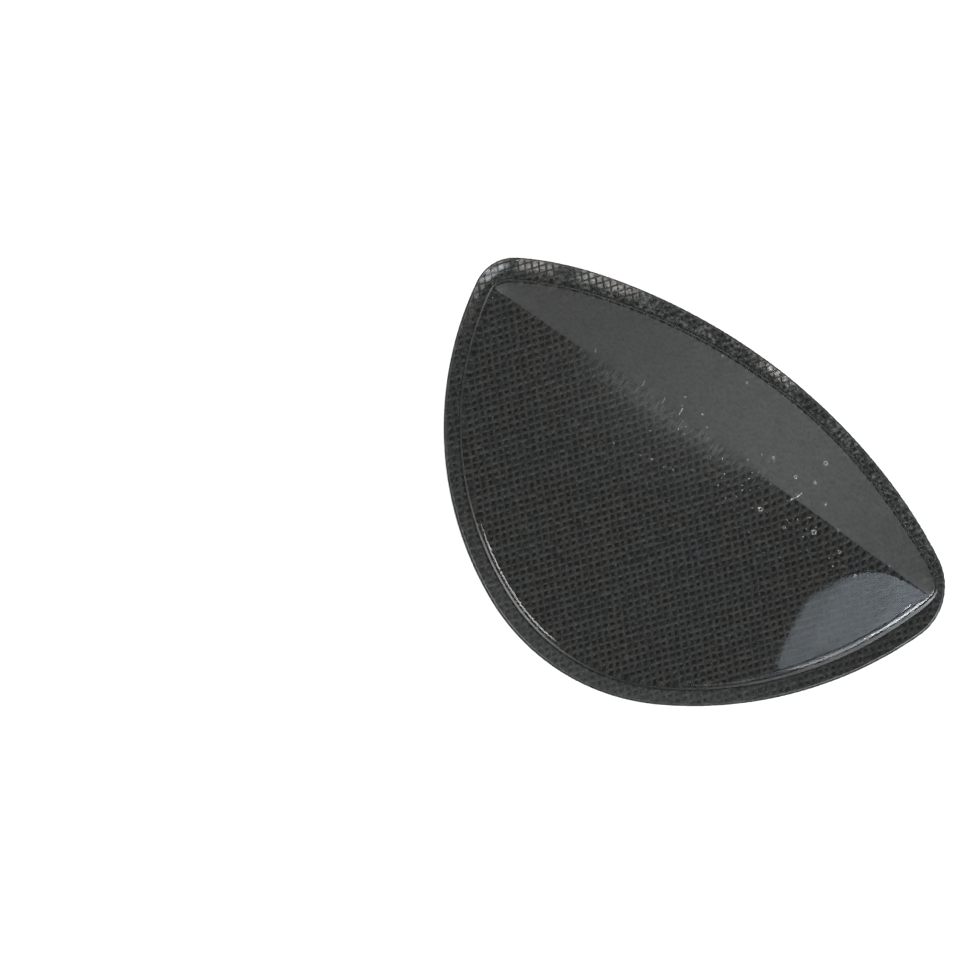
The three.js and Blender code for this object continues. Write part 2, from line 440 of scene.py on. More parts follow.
def plan_of(mesh):
    """The vertices' places in plan."""
    places = places_of(mesh).astype(float)
    return places[:, 0] + 1j * places[:, 1]


def on_own_yarn(plan, yarns):
    """Plan points moved sideways onto the middle line of their yarn, so that a ring stays whole."""
    sideways = 1j * np.exp(1j * yarns.heading)
    pitch = abs((yarns.other_step * np.conj(sideways)).real)
    aside = (plan * np.conj(sideways)).real
    return plan + (np.rint(aside / pitch) * pitch - aside) * sideways


def wander(plan):
    """A smooth random value at each plan point, mostly between -1 and 1."""
    total = np.zeros(len(plan))
    for _ in range(WANDER_WAVES):
        heading, phase = chance.uniform(0, 2 * np.pi, 2)
        length = chance.uniform(*WANDER_LENGTHS)
        total += np.cos((plan * np.exp(-1j * heading)).real * 2 * np.pi / length + phase)
    return total / math.sqrt(WANDER_WAVES)


def loosen(piece, yarns):
    """Shifts each yarn a little to one side or the other, and makes it thicker or thinner."""
    plan = plan_of(piece.data)
    middle = on_own_yarn(plan, yarns)
    shift = WANDER * wander(middle) * 1j * np.exp(1j * yarns.heading)
    plan = middle + (plan - middle) * (1 + WIDTH_CHANGE * wander(middle)) + shift
    places = places_of(piece.data)
    places[:, :2] = np.column_stack([plan.real, plan.imag])
    put_places(piece.data, places)


print("sideways wander in mm:", round(WANDER / MM, 3))

# %% [markdown]
# ## Cutting the mesh to the edge
# On the real pad mesh and velour are die-cut together. Here what lies outside the outline is deleted,
# and each open yarn end is extruded along its own yarn until it meets the edge, then capped. A Boolean
# would do it too, but it is slow on so many small tubes. The yarns are loosened between the two steps.

# %% Helpers for the cut
TINY = 1e-12  # keeps a division by nothing away


def outside(plan, loop):
    """True for each plan point outside a loop that runs counter-clockwise and is convex."""
    result = np.zeros(len(plan), bool)
    for a, b in zip(loop, np.roll(loop, -1)):
        result |= ((plan - a) * np.conj(b - a)).imag < 0
    return result


def reach_edge(plan, heading, loop):
    """How far each plan point is from a loop along a heading."""
    a = loop[None, :]
    along = np.roll(loop, -1)[None, :] - a
    way = np.exp(1j * heading)
    facing = (np.conj(along) * way).imag
    facing[np.abs(facing) < TINY] = TINY
    distance = -(np.conj(along) * (plan[:, None] - a)).imag / facing
    return np.where(distance > 0, distance, np.inf).min(axis=1)


print("from the origin to the rounder tip in mm:", np.round(reach_edge(np.zeros(1), 0.0, cut_edge) / MM, 1))

# %% Cut both families
TRIM = 0.05 * MM


def delete_outside(piece, yarns):
    """Deletes the rings of yarn whose middle is outside, or too close to the edge."""
    mesh = piece.data
    bpy.ops.object.select_all(action="DESELECT")
    piece.select_set(True)
    bpy.context.view_layer.objects.active = piece
    bpy.ops.object.mode_set(mode="EDIT")
    bpy.ops.mesh.select_all(action="DESELECT")
    bpy.ops.object.mode_set(mode="OBJECT")
    middle = on_own_yarn(plan_of(mesh), yarns)
    safe_edge = edge_loop(TRIM + yarns.wide / 2)[::2]  # every second station is close enough
    mesh.vertices.foreach_set("select", outside(middle, safe_edge))
    bpy.ops.object.mode_set(mode="EDIT")
    bpy.ops.mesh.delete(type="VERT")
    bpy.ops.mesh.select_all(action="SELECT")
    bpy.ops.mesh.delete_loose()
    bpy.ops.object.mode_set(mode="OBJECT")


def run_out_ends(piece, yarns):
    """Extrudes each open end along its yarn to the cut edge, and caps it."""
    mesh = piece.data
    bpy.ops.object.mode_set(mode="EDIT")
    bpy.ops.mesh.select_all(action="DESELECT")
    bpy.ops.mesh.select_non_manifold(extend=False)
    bpy.ops.mesh.extrude_edges_move()
    bpy.ops.object.mode_set(mode="OBJECT")
    chosen = chosen_in(mesh)
    places = places_of(mesh)
    plan = plan_of(mesh)[chosen]
    ahead, behind = (reach_edge(plan, yarns.heading + turn, cut_edge) for turn in (0.0, math.pi))
    plan = plan + np.where(ahead < behind, ahead, -behind) * np.exp(1j * yarns.heading)
    places[chosen, :2] = np.column_stack([plan.real, plan.imag])
    put_places(mesh, places)
    bpy.ops.object.mode_set(mode="EDIT")
    bpy.ops.mesh.select_all(action="SELECT")
    bpy.ops.mesh.fill_holes(sides=YARN_SIDES)
    bpy.ops.object.mode_set(mode="OBJECT")


for piece, yarns in zip(families, FAMILIES):
    delete_outside(piece, yarns)
    loosen(piece, yarns)
    run_out_ends(piece, yarns)
    mark(piece.data, "lit", np.full(len(piece.data.vertices), yarns.lit))
    print(yarns.name, "vertices after the cut:", len(piece.data.vertices))

# %% [markdown]
# ## The mesh's curl and its marks
# Both families become one piece, and what lies on the rim is lifted as the rim is. The piece also gets
# marks for its finish: rim is 1 under the thin rim, and the wall shade mark is 1 under the foot of the
# wall and less under its shoulder. That mark paints the yarns darker there, as painted shade for the dark
# lines that the bent gel of the wall makes. Such marks could be painted by hand, but worked out from the
# outline they follow it exactly.

# %% Join, curl and mark the mesh
SEARCH_PARTS = 40  # the nearest stations are looked up in parts, to save memory
# The next two lines place the bands of painted shade on the yarns under the foot and the shoulder of the
# wall.
FOOT_LINE, FOOT_HALF, FOOT_FADE = 0.12, 0.2, 0.15  # shares of the wall, in from its foot
SHOULDER_LINE, SHOULDER_FADE, SHOULDER_SHADE = 0.62, 0.12, 0.7
RIM_FADE = 0.2  # share of the rim over which its mark fades in

bpy.ops.object.select_all(action="DESELECT")
for piece in families:
    piece.select_set(True)
bpy.context.view_layer.objects.active = families[0]
bpy.ops.object.join()
net = name_new("mesh_yarns")

net_plan = plan_of(net.data)
nearest = np.concatenate([
    np.abs(part[:, None] - cut_edge[None, :]).argmin(axis=1)
    for part in np.array_split(net_plan, SEARCH_PARTS)
])
inset = np.abs(net_plan - cut_edge[nearest])
width = np.abs(foot_loop - cut_edge)[nearest]
inwards = np.minimum(inset / width, 1.0)
places = places_of(net.data)
places[:, 2] += curl_lift(station_share[nearest], inwards)
put_places(net.data, places)
# Painted shade: a band under the foot of the wall and a weaker one under its shoulder, where the yarns are
# painted darker for the dark lines of the bent gel.
past_foot = (inset - width) / (WALL_WIDE * wall_share[nearest])
past_line = np.maximum(np.abs(past_foot - FOOT_LINE) - FOOT_HALF, 0)
painted_wall_shade = bell(past_line, 0, FOOT_FADE) + SHOULDER_SHADE * bell(past_foot, SHOULDER_LINE, SHOULDER_FADE)
mark(net.data, "painted_wall_shade", painted_wall_shade)
mark(net.data, "rim", np.clip((1 - inwards) / RIM_FADE, 0, 1))
bpy.ops.object.mode_set(mode="EDIT")
finish_piece(net, smooth_angle=60)

# %% [markdown]
# ## Gel pad: the two slopes
# The long slope and the short one meet in a straight crest. Its ends lie a few stations round from the
# tips. It is sharp at both ends and softest past its middle, and the long slope is a little full. A grid
# is laid into the outline: its columns cross from one side to the other, and one row runs along the
# crest. At both ends the columns shrink to a point and are merged. Heights come from two straight slopes
# joined by a rounded top, since no single bevel follows a crest that gets softer and sharper.

# %% Lay the crest into the outline
FLANGE_THICK = 0.6 * MM
FLANGE_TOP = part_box("gel_pad")[0].z + FLANGE_THICK
STEP_RISE = 1.1 * MM  # from the rim up the wall to the foot of the slopes
RIDGE_RISE = 7.0 * MM
LONG_SLOPE_BULGE = 1.5 * MM  # a quarter of this is reached
RIDGE_ROUND_MIDDLE, RIDGE_ROUND_TIP = 2.4 * MM, 0.06 * MM
CREST_SHIFT = 4  # stations from the tips to the ends of the crest

wedge_rim = np.roll(wedge_loop(WALL_WIDE), CREST_SHIFT)
lower_side = wedge_rim[: SIDE_SEGMENTS + 1]
upper_side = np.concatenate((wedge_rim[:1], wedge_rim[:SIDE_SEGMENTS - 1:-1]))
left_tip, right_tip = wedge_rim[0], wedge_rim[SIDE_SEGMENTS]


def crossed(a, b):
    """The cross product of two plan vectors."""
    return (np.conj(a) * b).imag


columns = upper_side - lower_side
columns[[0, -1]] = 1j * MM  # the end columns have no length, so they get a direction
crest_line = right_tip - left_tip
split = crossed(left_tip - lower_side, crest_line) / crossed(columns, crest_line)
along_crest = crossed(left_tip - lower_side, columns) / crossed(columns, crest_line)
middleness = np.clip(1 - (2 * along_crest - 1) ** 2, 0, 1)
crest_rise = RIDGE_RISE * middleness
bulge = LONG_SLOPE_BULGE * (middleness / (1 + middleness)) ** 2
crest_round = RIDGE_ROUND_TIP + RIDGE_ROUND_MIDDLE * 2 * along_crest * middleness ** 2
print("crest length in mm:", round(abs(crest_line) / MM, 1))

# %% Heights of the slopes
LOWER_ROWS, UPPER_ROWS = 44, 26
LEAST_WIDTH = 1e-9  # stands for the slopes' width at the ends of the crest


def roof(away, width, other_width):
    """Height over the rim at a distance from the crest, on a slope of this width."""
    slope, other_slope = crest_rise / width, crest_rise / other_width
    mean, lean = (slope + other_slope) / 2, (slope - other_slope) / 2

    def drop(distance):
        return mean * np.hypot(distance, crest_round) + lean * distance

    return crest_rise - drop(away) - (crest_rise - drop(width)) * away / width


def eased(count):
    """Fractions from 0 to 1, closer together at both ends."""
    share = np.arange(count + 1) / count
    return share / 2 + (1 - np.cos(np.pi * share)) / 4


lower_width = np.maximum(np.abs(columns) * split, LEAST_WIDTH)
upper_width = np.maximum(np.abs(columns) * (1 - split), LEAST_WIDTH)
slope_rows = []
for up in eased(LOWER_ROWS):
    height = roof(lower_width * (1 - up), lower_width, upper_width) + bulge * 4 * up * (1 - up)
    slope_rows.append((lower_side + columns * split * up, height, -lower_width * (1 - up)))
for down in eased(UPPER_ROWS)[1:]:
    height = roof(upper_width * down, upper_width, lower_width)
    slope_rows.append((lower_side + columns * (split + (1 - split) * down), height, upper_width * down))
row_plan, row_height, row_away = (np.array(values) for values in zip(*slope_rows))
print("rows:", len(slope_rows), " crest in mm:", round(row_height.max() / MM, 2))

# %% [markdown]
# The grid primitive gets as many columns and rows as the slopes have, and each vertex is moved to its
# place. By hand one would drag them, but here the row and the column of each say where it belongs.

# %% Shape the grid
LAST_ROW = len(slope_rows) - 1

bpy.ops.object.select_all(action="DESELECT")
bpy.ops.mesh.primitive_grid_add(x_subdivisions=SIDE_SEGMENTS, y_subdivisions=LAST_ROW, size=2.0)
gel = name_new("gel_wedge")
grid = places_of(gel.data)
column_of = np.rint((grid[:, 0] + 1) / 2 * SIDE_SEGMENTS).astype(int)
row_of = np.rint((grid[:, 1] + 1) / 2 * LAST_ROW).astype(int)
at_left, at_right = column_of == 0, column_of == SIDE_SEGMENTS
plan = np.where(at_left, left_tip, np.where(at_right, right_tip, row_plan[row_of, column_of]))
height = np.where(at_left | at_right, 0.0, row_height[row_of, column_of])
put_places(gel.data, np.column_stack([plan.real, plan.imag, FLANGE_TOP + STEP_RISE + height]))
edge_station = np.where(row_of == LAST_ROW, -column_of, column_of) - CREST_SHIFT
mark(gel.data, "station", edge_station % STATIONS)
print("grid vertices:", len(grid))

# %% [markdown]
# ## Gel pad: marks for the finish
# The short slope is satin and the long one clear, but the mould was rubbed along the middle of the crest,
# so there the two run into each other. Five attributes say this to the material: frost is how rough the
# skin is, haze how milky, scuff where rub marks lie, rim how deep the pillows of the rim are, and silver
# where the rim is loose. The last two start at 0 and are set on the rim. Painting them would do, but here
# they follow the crest exactly.

# %% Mark the slopes
FROST_EDGE, FROST_BLEND = 0.15 * MM, 4.0 * MM
SCUFF_MIDDLE, SCUFF_REACH = -0.2 * MM, 1.6 * MM
RUBBED_STRETCH, SCUFF_STRETCH = (0.41, 0.17, 4), (0.43, 0.25, 4)  # middle, reach and power along the crest
SATIN_STRETCH, VEIL_STRETCH = (0.6, 0.32), (0.38, 0.2)
SATIN_LEAST, SATIN_MORE = 0.2, 1.05
SATIN_FADE = 10  # for each metre down the slope
VEIL_LEAST, VEIL_MORE, VEIL_REACH = 0.03, 0.42, 9 * MM
RUB_HAZE, RUB_REACH = 0.9, 2.2 * MM

away = row_away[row_of, column_of]
along = along_crest[column_of]
rubbed = bell(along, *RUBBED_STRETCH)
frost = np.clip((away + 0.5 * FROST_BLEND * rubbed) / (FROST_EDGE + FROST_BLEND * rubbed), 0, 1)
satin_haze = SATIN_LEAST + SATIN_MORE * bell(along, *SATIN_STRETCH) - SATIN_FADE * np.maximum(away, 0)
veil = VEIL_LEAST + VEIL_MORE * bell(away, 0, VEIL_REACH) * bell(along, *VEIL_STRETCH)
veil += RUB_HAZE * bell(away, SCUFF_MIDDLE, RUB_REACH) * rubbed
mark(gel.data, "frost", frost)
mark(gel.data, "haze", frost * satin_haze + (1 - frost) * veil)
mark(gel.data, "scuff", bell(away, SCUFF_MIDDLE, SCUFF_REACH) * bell(along, *SCUFF_STRETCH))
for name in ("rim", "silver"):
    mark(gel.data, name, np.zeros(len(grid)))
print("share of the slopes that is satin:", round(float(frost.mean()), 2))

# %% Merge the ends of the crest
MERGE_DISTANCE = MM / 10000

bpy.ops.object.mode_set(mode="EDIT")
bpy.ops.mesh.select_all(action="SELECT")
bpy.ops.mesh.remove_doubles(threshold=MERGE_DISTANCE)
print("vertices of the slopes:", gel.data.total_vert_sel)

# %% [markdown]
# ## Gel pad: the wall, the rim and the soaked underside
# Round the wedge a small wall drops to the thin rim: a round shoulder, a leaning riser, a narrow satin
# ledge and a small foot, which is why it shows as bright and dark lines. A Bevel gives one round profile,
# so the open edge of the grid is extruded down that wall instead, out over the rim and round its edge.
# Underneath, the gel has soaked through the mesh to the velour, so it reaches a hair below the top of the
# cover and no air shows between them.

# %% Profile of the wall
SHOULDER_ROUND, SHOULDER_LEANS = 1.7 * MM, np.linspace(10, 46, 10)
LEDGE_ROUND, LEDGE_LEANS = 2.4 * MM, np.linspace(15, 26, 6)
RISER_FOOT, LEDGE_TOP = (0.67 * MM, 0.42 * MM), (0.64 * MM, 0.4 * MM)  # in from the foot, and up
FOOT = [(0.14 * MM, 0.06 * MM), (0.06 * MM, -0.02 * MM), (0.0, 0.0)]


def round_over(run, rise, radius, leans):
    """Points of a rounded edge that goes down and outwards from its first point."""
    points = []
    for lean in np.radians(leans):
        out = radius * (math.sin(lean) - math.sin(math.radians(leans[0])))
        down = radius * (math.cos(math.radians(leans[0])) - math.cos(lean))
        points.append((run - out, rise - down))
    return points


def wall_ring(run, rise):
    """A ring of the wall, this far in from the foot and this far up from the rim."""
    return ring(wedge_loop(run), FLANGE_TOP + rise)


shoulder = round_over(WALL_WIDE, STEP_RISE, SHOULDER_ROUND, SHOULDER_LEANS)[1:]
ledge = round_over(*LEDGE_TOP, LEDGE_ROUND, LEDGE_LEANS)
print("rings of the wall:", len(shoulder) + 1 + len(ledge) + len(FOOT))

# %% Extrude the wall
SATIN_RINGS = 2  # of the shoulder, which keep the finish of the slopes
LEDGE_FROST = 0.65
ledge_haze = 0.35 - 0.3 * lower_share

bpy.ops.mesh.region_to_loop()
for run, rise in shoulder[:SATIN_RINGS]:
    pull_out(gel, wall_ring(run, rise), scuff=0.0)
for run, rise in shoulder[SATIN_RINGS:] + [RISER_FOOT]:
    pull_out(gel, wall_ring(run, rise), frost=0.0, haze=0.0)
for run, rise in ledge:
    pull_out(gel, wall_ring(run, rise), frost=LEDGE_FROST, haze=ledge_haze)
for run, rise in FOOT:
    pull_out(gel, wall_ring(run, rise), frost=0.0, haze=0.0)
print("vertices with the wall:", len(gel.data.vertices))

# %% Extrude the rim
GEL_RIM_RINGS = 8
GEL_EDGE_INSET = 0.2 * MM
GEL_EDGE_ROUND = 0.3 * MM
EDGE_FROST = 0.7
SOAKED_DEPTH = 0.02 * MM
GEL_FLOOR = COVER_THICK - SOAKED_DEPTH
LOOSE_FROM, LOOSE_FADE = 0.35, 0.2  # shares of the rim, out from the foot
ragged = 0.15 + 0.85 * bell(station_share, 0.71, 0.17, 4)  # deepest along the instep edge
milky = 0.13 - 0.08 * lower_share + 0.5 * bell(station_share, 0.26, 0.11, 4)  # most at the round edge

inner_edge = edge_loop(GEL_EDGE_INSET + GEL_EDGE_ROUND)
curled = sum(curl_at(row, station_share) for row in EDGE_CURLS)
for outwards in np.arange(1, GEL_RIM_RINGS + 1) / GEL_RIM_RINGS:
    loose = np.minimum(curled * np.clip((outwards - LOOSE_FROM) / LOOSE_FADE, 0, 1), 1)
    points = rim_ring(inner_edge, 1 - outwards, FLANGE_TOP)
    pull_out(gel, points, rim=ragged, haze=milky, silver=loose)
for angle in np.linspace(0, math.pi / 2, ROUND_STEPS + 1)[1:]:
    inset = GEL_EDGE_INSET + GEL_EDGE_ROUND * (1 - math.sin(angle))
    fall = GEL_EDGE_ROUND * (1 - math.cos(angle))
    pull_out(gel, rim_ring(edge_loop(inset), 0.0, FLANGE_TOP - fall), frost=EDGE_FROST)
for k in range(RIM_RINGS + 1):
    pull_out(gel, rim_ring(edge_loop(GEL_EDGE_INSET), k / RIM_RINGS, GEL_FLOOR))
bpy.ops.mesh.edge_face_add()
finish_piece(gel, smooth_angle=60)

# %% [markdown]
# ## Trapped air
# Some bubbles have burst in the skin of the gel and left round lips, with dozens of specks and some long
# nicks near the crest. A lip is a small ring, and a speck or a nick is a small ball, both half sunk in
# the surface, so that they catch the light all round. Dents would need far more faces in the slopes. The
# larger ones have places of their own in a table. The specks are scattered with a fixed seed.

# %% List the bubbles
Bubble = namedtuple("Bubble", "x y width length")
BUBBLES = [
    Bubble(11.5, 9.3, 0.8, 0.8),
    Bubble(19.9, 11.4, 0.8, 0.8),
    Bubble(24.7, 11.4, 0.5, 0.5),
    Bubble(28.8, 10.0, 0.5, 0.5),
    Bubble(15.3, 20.7, 0.75, 0.75),
    Bubble(8.5, 16.6, 0.5, 0.5),
    Bubble(12.8, 16.3, 0.6, 0.6),
    Bubble(15.7, 17.4, 0.55, 0.55),
    Bubble(18.8, 15.8, 0.45, 0.45),
    Bubble(15.9, 9.3, 0.5, 0.5),
    Bubble(22.6, 13.8, 0.45, 0.45),
    Bubble(-1.2, 23.3, 0.4, 0.4),
    Bubble(-6.5, 24.3, 0.35, 0.35),
    Bubble(14.8, 14.4, 0.22, 1.6),
    Bubble(14.3, 13.3, 0.2, 0.9),
    Bubble(18.0, 12.7, 0.15, 0.8),
    Bubble(-6.6, 13.8, 0.18, 1.5),
    Bubble(-13.5, 13.8, 0.14, 1.1),
    Bubble(-9.6, 13.6, 0.12, 1.2),
    Bubble(-22.1, 13.5, 0.12, 0.9),
]
SPECKS = 80
SPECK_SEED = 7
SPECK_WIDTHS = (0.13, 0.26)
SPECK_X, SPECK_Y = (8, 12), (11.5, 3.5)  # middle and spread of the cloud of specks

chance = np.random.default_rng(SPECK_SEED)
for _ in range(SPECKS):
    size = chance.uniform(*SPECK_WIDTHS)
    BUBBLES.append(Bubble(chance.normal(*SPECK_X), chance.normal(*SPECK_Y), size, size))
print("bubbles, specks and nicks listed:", len(BUBBLES))

# %% Set bubbles into the skin
LIP = 0.12  # thickness of a burst bubble's lip as a share of its width
HIGH_ABOVE = 100 * MM  # where the rays start that find the skin

balls = []
bpy.ops.object.select_all(action="DESELECT")
for bubble in BUBBLES:
    above = Vector((bubble.x * MM, bubble.y * MM, HIGH_ABOVE))
    found, spot, normal, _ = gel.ray_cast(above, Vector((0, 0, -1)))
    if not found or spot.z < FLANGE_TOP + STEP_RISE:
        continue
    wide = bubble.width * MM
    if bubble.width > SPECK_WIDTHS[1] and bubble.length == bubble.width:
        bpy.ops.mesh.primitive_torus_add(
            location=spot, major_segments=14, minor_segments=6,
            major_radius=wide * (0.5 - LIP), minor_radius=wide * LIP)
    else:
        bpy.ops.mesh.primitive_ico_sphere_add(subdivisions=1, radius=wide / 2, location=spot)
    ball = bpy.context.object
    ball.scale.y = bubble.length / bubble.width
    ball.rotation_euler = normal.to_track_quat("Z", "Y").to_euler()
    balls.append(ball)
bpy.ops.object.select_all(action="DESELECT")
for ball in balls:
    ball.select_set(True)
bpy.context.view_layer.objects.active = balls[0]
bpy.ops.object.join()
air = name_new("trapped_air")
bpy.ops.object.transform_apply(location=True, rotation=True, scale=True)
bpy.ops.object.mode_set(mode="EDIT")
finish_piece(air, smooth_angle=180)
print("of them in the slopes:", len(balls))

# %% [markdown]
# ## Materials
# Colours are written as sRGB hex values, as they would be picked from a swatch, and turned to linear
# light by one function. One more function adds a node with its settings and links, so each finish below
# reads as a short list. Patterns lie on Object coordinates, and their scales come from real sizes.

# %% Helpers for materials
def linear(swatch):
    """An sRGB hex colour as linear red, green, blue and alpha."""
    shares = [int(swatch[i : i + 2], 16) / 255 for i in (1, 3, 5)]
    return (*[c / 12.92 if c <= 0.04045 else ((c + 0.055) / 1.055) ** 2.4 for c in shares], 1.0)


def add(tree, kind, sockets=None, **settings):
    """Adds a node: sockets take values or other nodes' outputs, and settings are its own options."""
    made = tree.nodes.new(kind)
    for key, value in settings.items():
        setattr(made, key, value)
    for key, value in (sockets or {}).items():
        if isinstance(value, bpy.types.NodeSocket):
            tree.links.new(value, made.inputs[key])
        else:
            made.inputs[key].default_value = value
    return made


def new_material(piece, name):
    """Gives a piece an empty material, and returns its node tree."""
    material = bpy.data.materials.new(name)
    material.use_nodes = True
    material.node_tree.nodes.clear()
    piece.data.materials.append(material)
    return material.node_tree


def per_metre(size):
    """The scale that gives a noise texture features of about this size."""
    return 1.0 / size


print("white as linear:", linear("#ffffff"))

# %% [markdown]
# ### Nylon velour
# The cover is warp-knitted nylon with a short cut pile, dyed black. Pile swallows light, so it is rough
# and almost without a mirror reflection, and only its fibre tips give a faint sheen at the edges. Brushed
# patches a few millimetres wide are a little lighter than others. On the bonded side glue has dried in
# grey spots, which show between the yarns.

# %% Nylon velour
PILE_GRAIN = 0.25 * MM  # real fibres are finer, but would not show
BRUSHED_PATCH = 5 * MM
GLUE_SPOT = 0.9 * MM
PILE_TONES = [(0.12, "#151719"), (0.42, "#2a2d2f")]

tree = new_material(cover, "nylon_velour")
here = add(tree, "ShaderNodeTexCoord").outputs["Object"]
patches = add(tree, "ShaderNodeTexNoise", {"Vector": here, "Scale": per_metre(BRUSHED_PATCH)})
grain = add(tree, "ShaderNodeTexNoise", {"Vector": here, "Scale": per_metre(PILE_GRAIN), "Detail": 3.0})
mixed = add(tree, "ShaderNodeMath", {
    0: patches.outputs["Fac"], 1: grain.outputs["Fac"]}, operation="MULTIPLY")
tone = add(tree, "ShaderNodeValToRGB", {"Fac": mixed.outputs[0]})
for stop, (place, swatch) in zip(tone.color_ramp.elements, PILE_TONES):
    stop.position, stop.color = place, linear(swatch)
glue = add(tree, "ShaderNodeTexNoise", {"Vector": here, "Scale": per_metre(GLUE_SPOT), "Detail": 1.0})
spots = add(tree, "ShaderNodeMapRange", {"Value": glue.outputs["Fac"], "From Min": 0.42, "From Max": 0.7})
bonded = add(tree, "ShaderNodeAttribute", attribute_name="bonded")
glued = add(tree, "ShaderNodeMath", {
    0: spots.outputs["Result"], 1: bonded.outputs["Fac"]}, operation="MULTIPLY")
coated = add(tree, "ShaderNodeMix", {
    "Factor": glued.outputs[0], "A": tone.outputs["Color"], "B": linear("#3b3c3a")}, data_type="RGBA")
pile = add(tree, "ShaderNodeBump", {"Height": grain.outputs["Fac"], "Strength": 0.6, "Distance": 0.15 * MM})
face = add(tree, "ShaderNodeBsdfPrincipled", {
    "Base Color": coated.outputs["Result"], "Normal": pile.outputs["Normal"], "Roughness": 0.95,
    "Specular IOR Level": 0.05, "Sheen Weight": 0.2, "Sheen Roughness": 0.4})
add(tree, "ShaderNodeOutputMaterial", {"Surface": face.outputs["BSDF"]})
print("velour nodes:", len(tree.nodes))

# %% [markdown]
# ### Polyester yarn
# The mesh is spun polyester, dyed a dull grey that leans from brown to blue over a few millimetres. Its
# twisted filaments and thick and thin places give it a grain. Wet with gel it looks darker than dry, and a
# little more so under the rim. Under the wall of the gel the yarns are painted darker still, as painted
# shade for the dark lines that the bent gel makes there.

# %% Polyester yarn
DYE_PATCH = 5 * MM
SLUB = 0.8 * MM
FILAMENT = 0.2 * MM  # real ones are much finer, but would not show
DYES = [(0.36, "#2a2827"), (0.5, "#292827"), (0.6, "#272827"), (0.7, "#282829")]

tree = new_material(net, "polyester_yarn")
here = add(tree, "ShaderNodeTexCoord").outputs["Object"]
dye = add(tree, "ShaderNodeTexNoise", {"Vector": here, "Scale": per_metre(DYE_PATCH), "Detail": 2.0})
tone = add(tree, "ShaderNodeValToRGB", {"Fac": dye.outputs["Fac"]})
while len(tone.color_ramp.elements) < len(DYES):
    tone.color_ramp.elements.new(0.5)
for stop, (place, swatch) in zip(tone.color_ramp.elements, DYES):
    stop.position, stop.color = place, linear(swatch)
filaments = add(tree, "ShaderNodeTexNoise", {"Vector": here, "Scale": per_metre(FILAMENT), "Detail": 2.0})
slubs = add(tree, "ShaderNodeTexNoise", {"Vector": here, "Scale": per_metre(SLUB)})
lit, rim, painted_wall_shade = (
    add(tree, "ShaderNodeAttribute", attribute_name=name) for name in ("lit", "rim", "painted_wall_shade"))
worn = add(tree, "ShaderNodeMapRange", {
    "Value": filaments.outputs["Fac"], "From Min": 0.3, "From Max": 0.7, "To Min": 0.4, "To Max": 1.6})
uneven = add(tree, "ShaderNodeMapRange", {
    "Value": slubs.outputs["Fac"], "From Min": 0.3, "From Max": 0.7, "To Min": 0.6, "To Max": 1.4})
soaked = add(tree, "ShaderNodeMapRange", {"Value": rim.outputs["Fac"], "To Min": 1.0, "To Max": 0.85})
# Painted shade: under the wall of the gel the yarn colour is scaled down to 0.3, for the dark lines that
# the bent gel makes.
wall_shade_factor = add(tree, "ShaderNodeMapRange", {"Value": painted_wall_shade.outputs["Fac"], "To Min": 1.0, "To Max": 0.3})
factors = [uneven.outputs["Result"], lit.outputs["Fac"], soaked.outputs["Result"], wall_shade_factor.outputs["Result"]]
for factor in factors:
    worn = add(tree, "ShaderNodeMath", {0: worn.outputs[0], 1: factor}, operation="MULTIPLY")
shade = add(tree, "ShaderNodeVectorMath", {
    0: tone.outputs["Color"], "Scale": worn.outputs[0]}, operation="SCALE")
twist = add(tree, "ShaderNodeBump", {
    "Height": filaments.outputs["Fac"], "Strength": 0.5, "Distance": 0.05 * MM})
face = add(tree, "ShaderNodeBsdfPrincipled", {
    "Base Color": shade.outputs[0], "Normal": twist.outputs["Normal"], "Roughness": 0.8,
    "Specular IOR Level": 0.05})
add(tree, "ShaderNodeOutputMaterial", {"Surface": face.outputs["BSDF"]})
print("yarn nodes:", len(tree.nodes))

# %% [markdown]
# ### Cast elastomer gel
# The wedge is a clear oil-filled elastomer, cast in a mould. Over the thin rim the gel sinks into the
# cells of the mesh and sets as small pillows, so the rim glitters unevenly. They are too small to model
# one by one, so they are a bump on two cosine waves with the yarns' own spacing.

# %% Gel: pillows on the rim
PILLOW_DEPTH = 0.015 * MM

tree = new_material(gel, "cast_elastomer_gel")
here = add(tree, "ShaderNodeTexCoord").outputs["Object"]
frost, haze, scuff, rim, silver = (
    add(tree, "ShaderNodeAttribute", attribute_name=name).outputs["Fac"]
    for name in ("frost", "haze", "scuff", "rim", "silver"))
waves = []
for yarns in FAMILIES:
    across = 1j * np.exp(1j * yarns.heading)
    across *= 2 * math.pi / abs((yarns.other_step * np.conj(across)).real)
    turns = add(tree, "ShaderNodeVectorMath", {
        0: here, 1: (across.real, across.imag, 0.0)}, operation="DOT_PRODUCT")
    waves.append(add(tree, "ShaderNodeMath", {0: turns.outputs["Value"]}, operation="COSINE"))
crossed_waves = add(tree, "ShaderNodeMath", {
    0: waves[0].outputs[0], 1: waves[1].outputs[0]}, operation="MAXIMUM")
grooves = add(tree, "ShaderNodeMapRange", {
    "Value": crossed_waves.outputs[0], "From Min": 0.5, "From Max": 1.0, "To Min": 0.0, "To Max": -1.0},
    interpolation_type="SMOOTHSTEP")
pillows = add(tree, "ShaderNodeBump", {
    "Height": grooves.outputs[0], "Strength": rim, "Distance": PILLOW_DEPTH})
print("pillow depth in mm:", round(PILLOW_DEPTH / MM, 3))

# %% [markdown]
# Where the rim curls up, the gel has come off the cells and the air under it shines silvery, in blotches.
# A few pale flecks lie on the rest of the rim. Thin films of air would be slow to render, so both are
# given as a share of light that the skin scatters.

# %% Gel: loose cells and flecks
SILVER, FLECKS = 0.125, 0.06  # shares of light that they scatter
BLOTCH = 0.5 * MM

